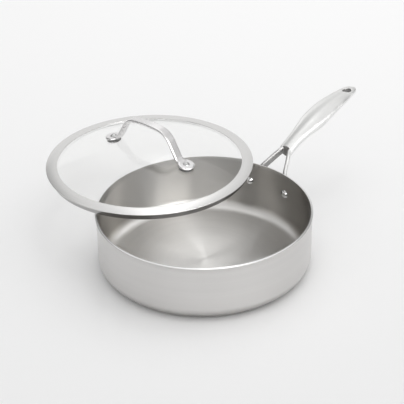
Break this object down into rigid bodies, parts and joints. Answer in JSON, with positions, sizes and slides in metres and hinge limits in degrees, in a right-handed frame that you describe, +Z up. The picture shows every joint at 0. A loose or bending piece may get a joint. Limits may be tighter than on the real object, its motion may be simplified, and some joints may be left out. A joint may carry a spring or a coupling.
{
  "type": "saute pan with lid",
  "caption": "Straight-sided steel saute pan with a forked stick handle on rivets, and a domed glass lid with an arched handle laid across its rim.",
  "frame": {"origin": "centre of the pan's flat base, on the surface that it stands on", "axes": "+X along the stick handle, away from the pan; +Z up; the lid lies towards +Y"},
  "size_m": [0.4239, 0.3606, 0.1317],
  "materials": {
    "outer_steel": "satin, brushed round the wall",
    "core_aluminium": "plain rolled, seen only as the middle line of the rim",
    "inner_steel": "satin, brushed in circles",
    "handle_steel": "cast and polished to a soft shine",
    "rivet_steel": "polished",
    "lid_glass": "clear tempered glass",
    "band_steel": "polished",
    "lid_handle_steel": "cast and polished",
    "silicone": "matt translucent grey silicone",
    "washer_steel": "plain"
  },
  "bodies": {
    "pan": {"pan_outer_floor": "outer_steel", "pan_outer_corner": "outer_steel", "pan_outer_wall": "outer_steel", "pan_core": "core_aluminium", "pan_inner_skin": "inner_steel", "stick_handle": "handle_steel", "handle_rivet_right": "rivet_steel", "handle_rivet_left": "rivet_steel"},
    "lid": {"lid_glass": "lid_glass", "lid_band": "band_steel", "lid_handle": "lid_handle_steel", "lid_rivet_front": "rivet_steel", "lid_rivet_back": "rivet_steel", "lid_grommet_front": "silicone", "lid_grommet_back": "silicone", "lid_seal_washer_front": "silicone", "lid_seal_washer_back": "silicone", "lid_backing_washer_front": "washer_steel", "lid_backing_washer_back": "washer_steel"}
  },
  "joints": [
    {"name": "lid_lift", "type": "slide", "parent": "pan", "child": "lid", "axis": [0, 0, 1], "range_m": [0, 0.12]}
  ]
}
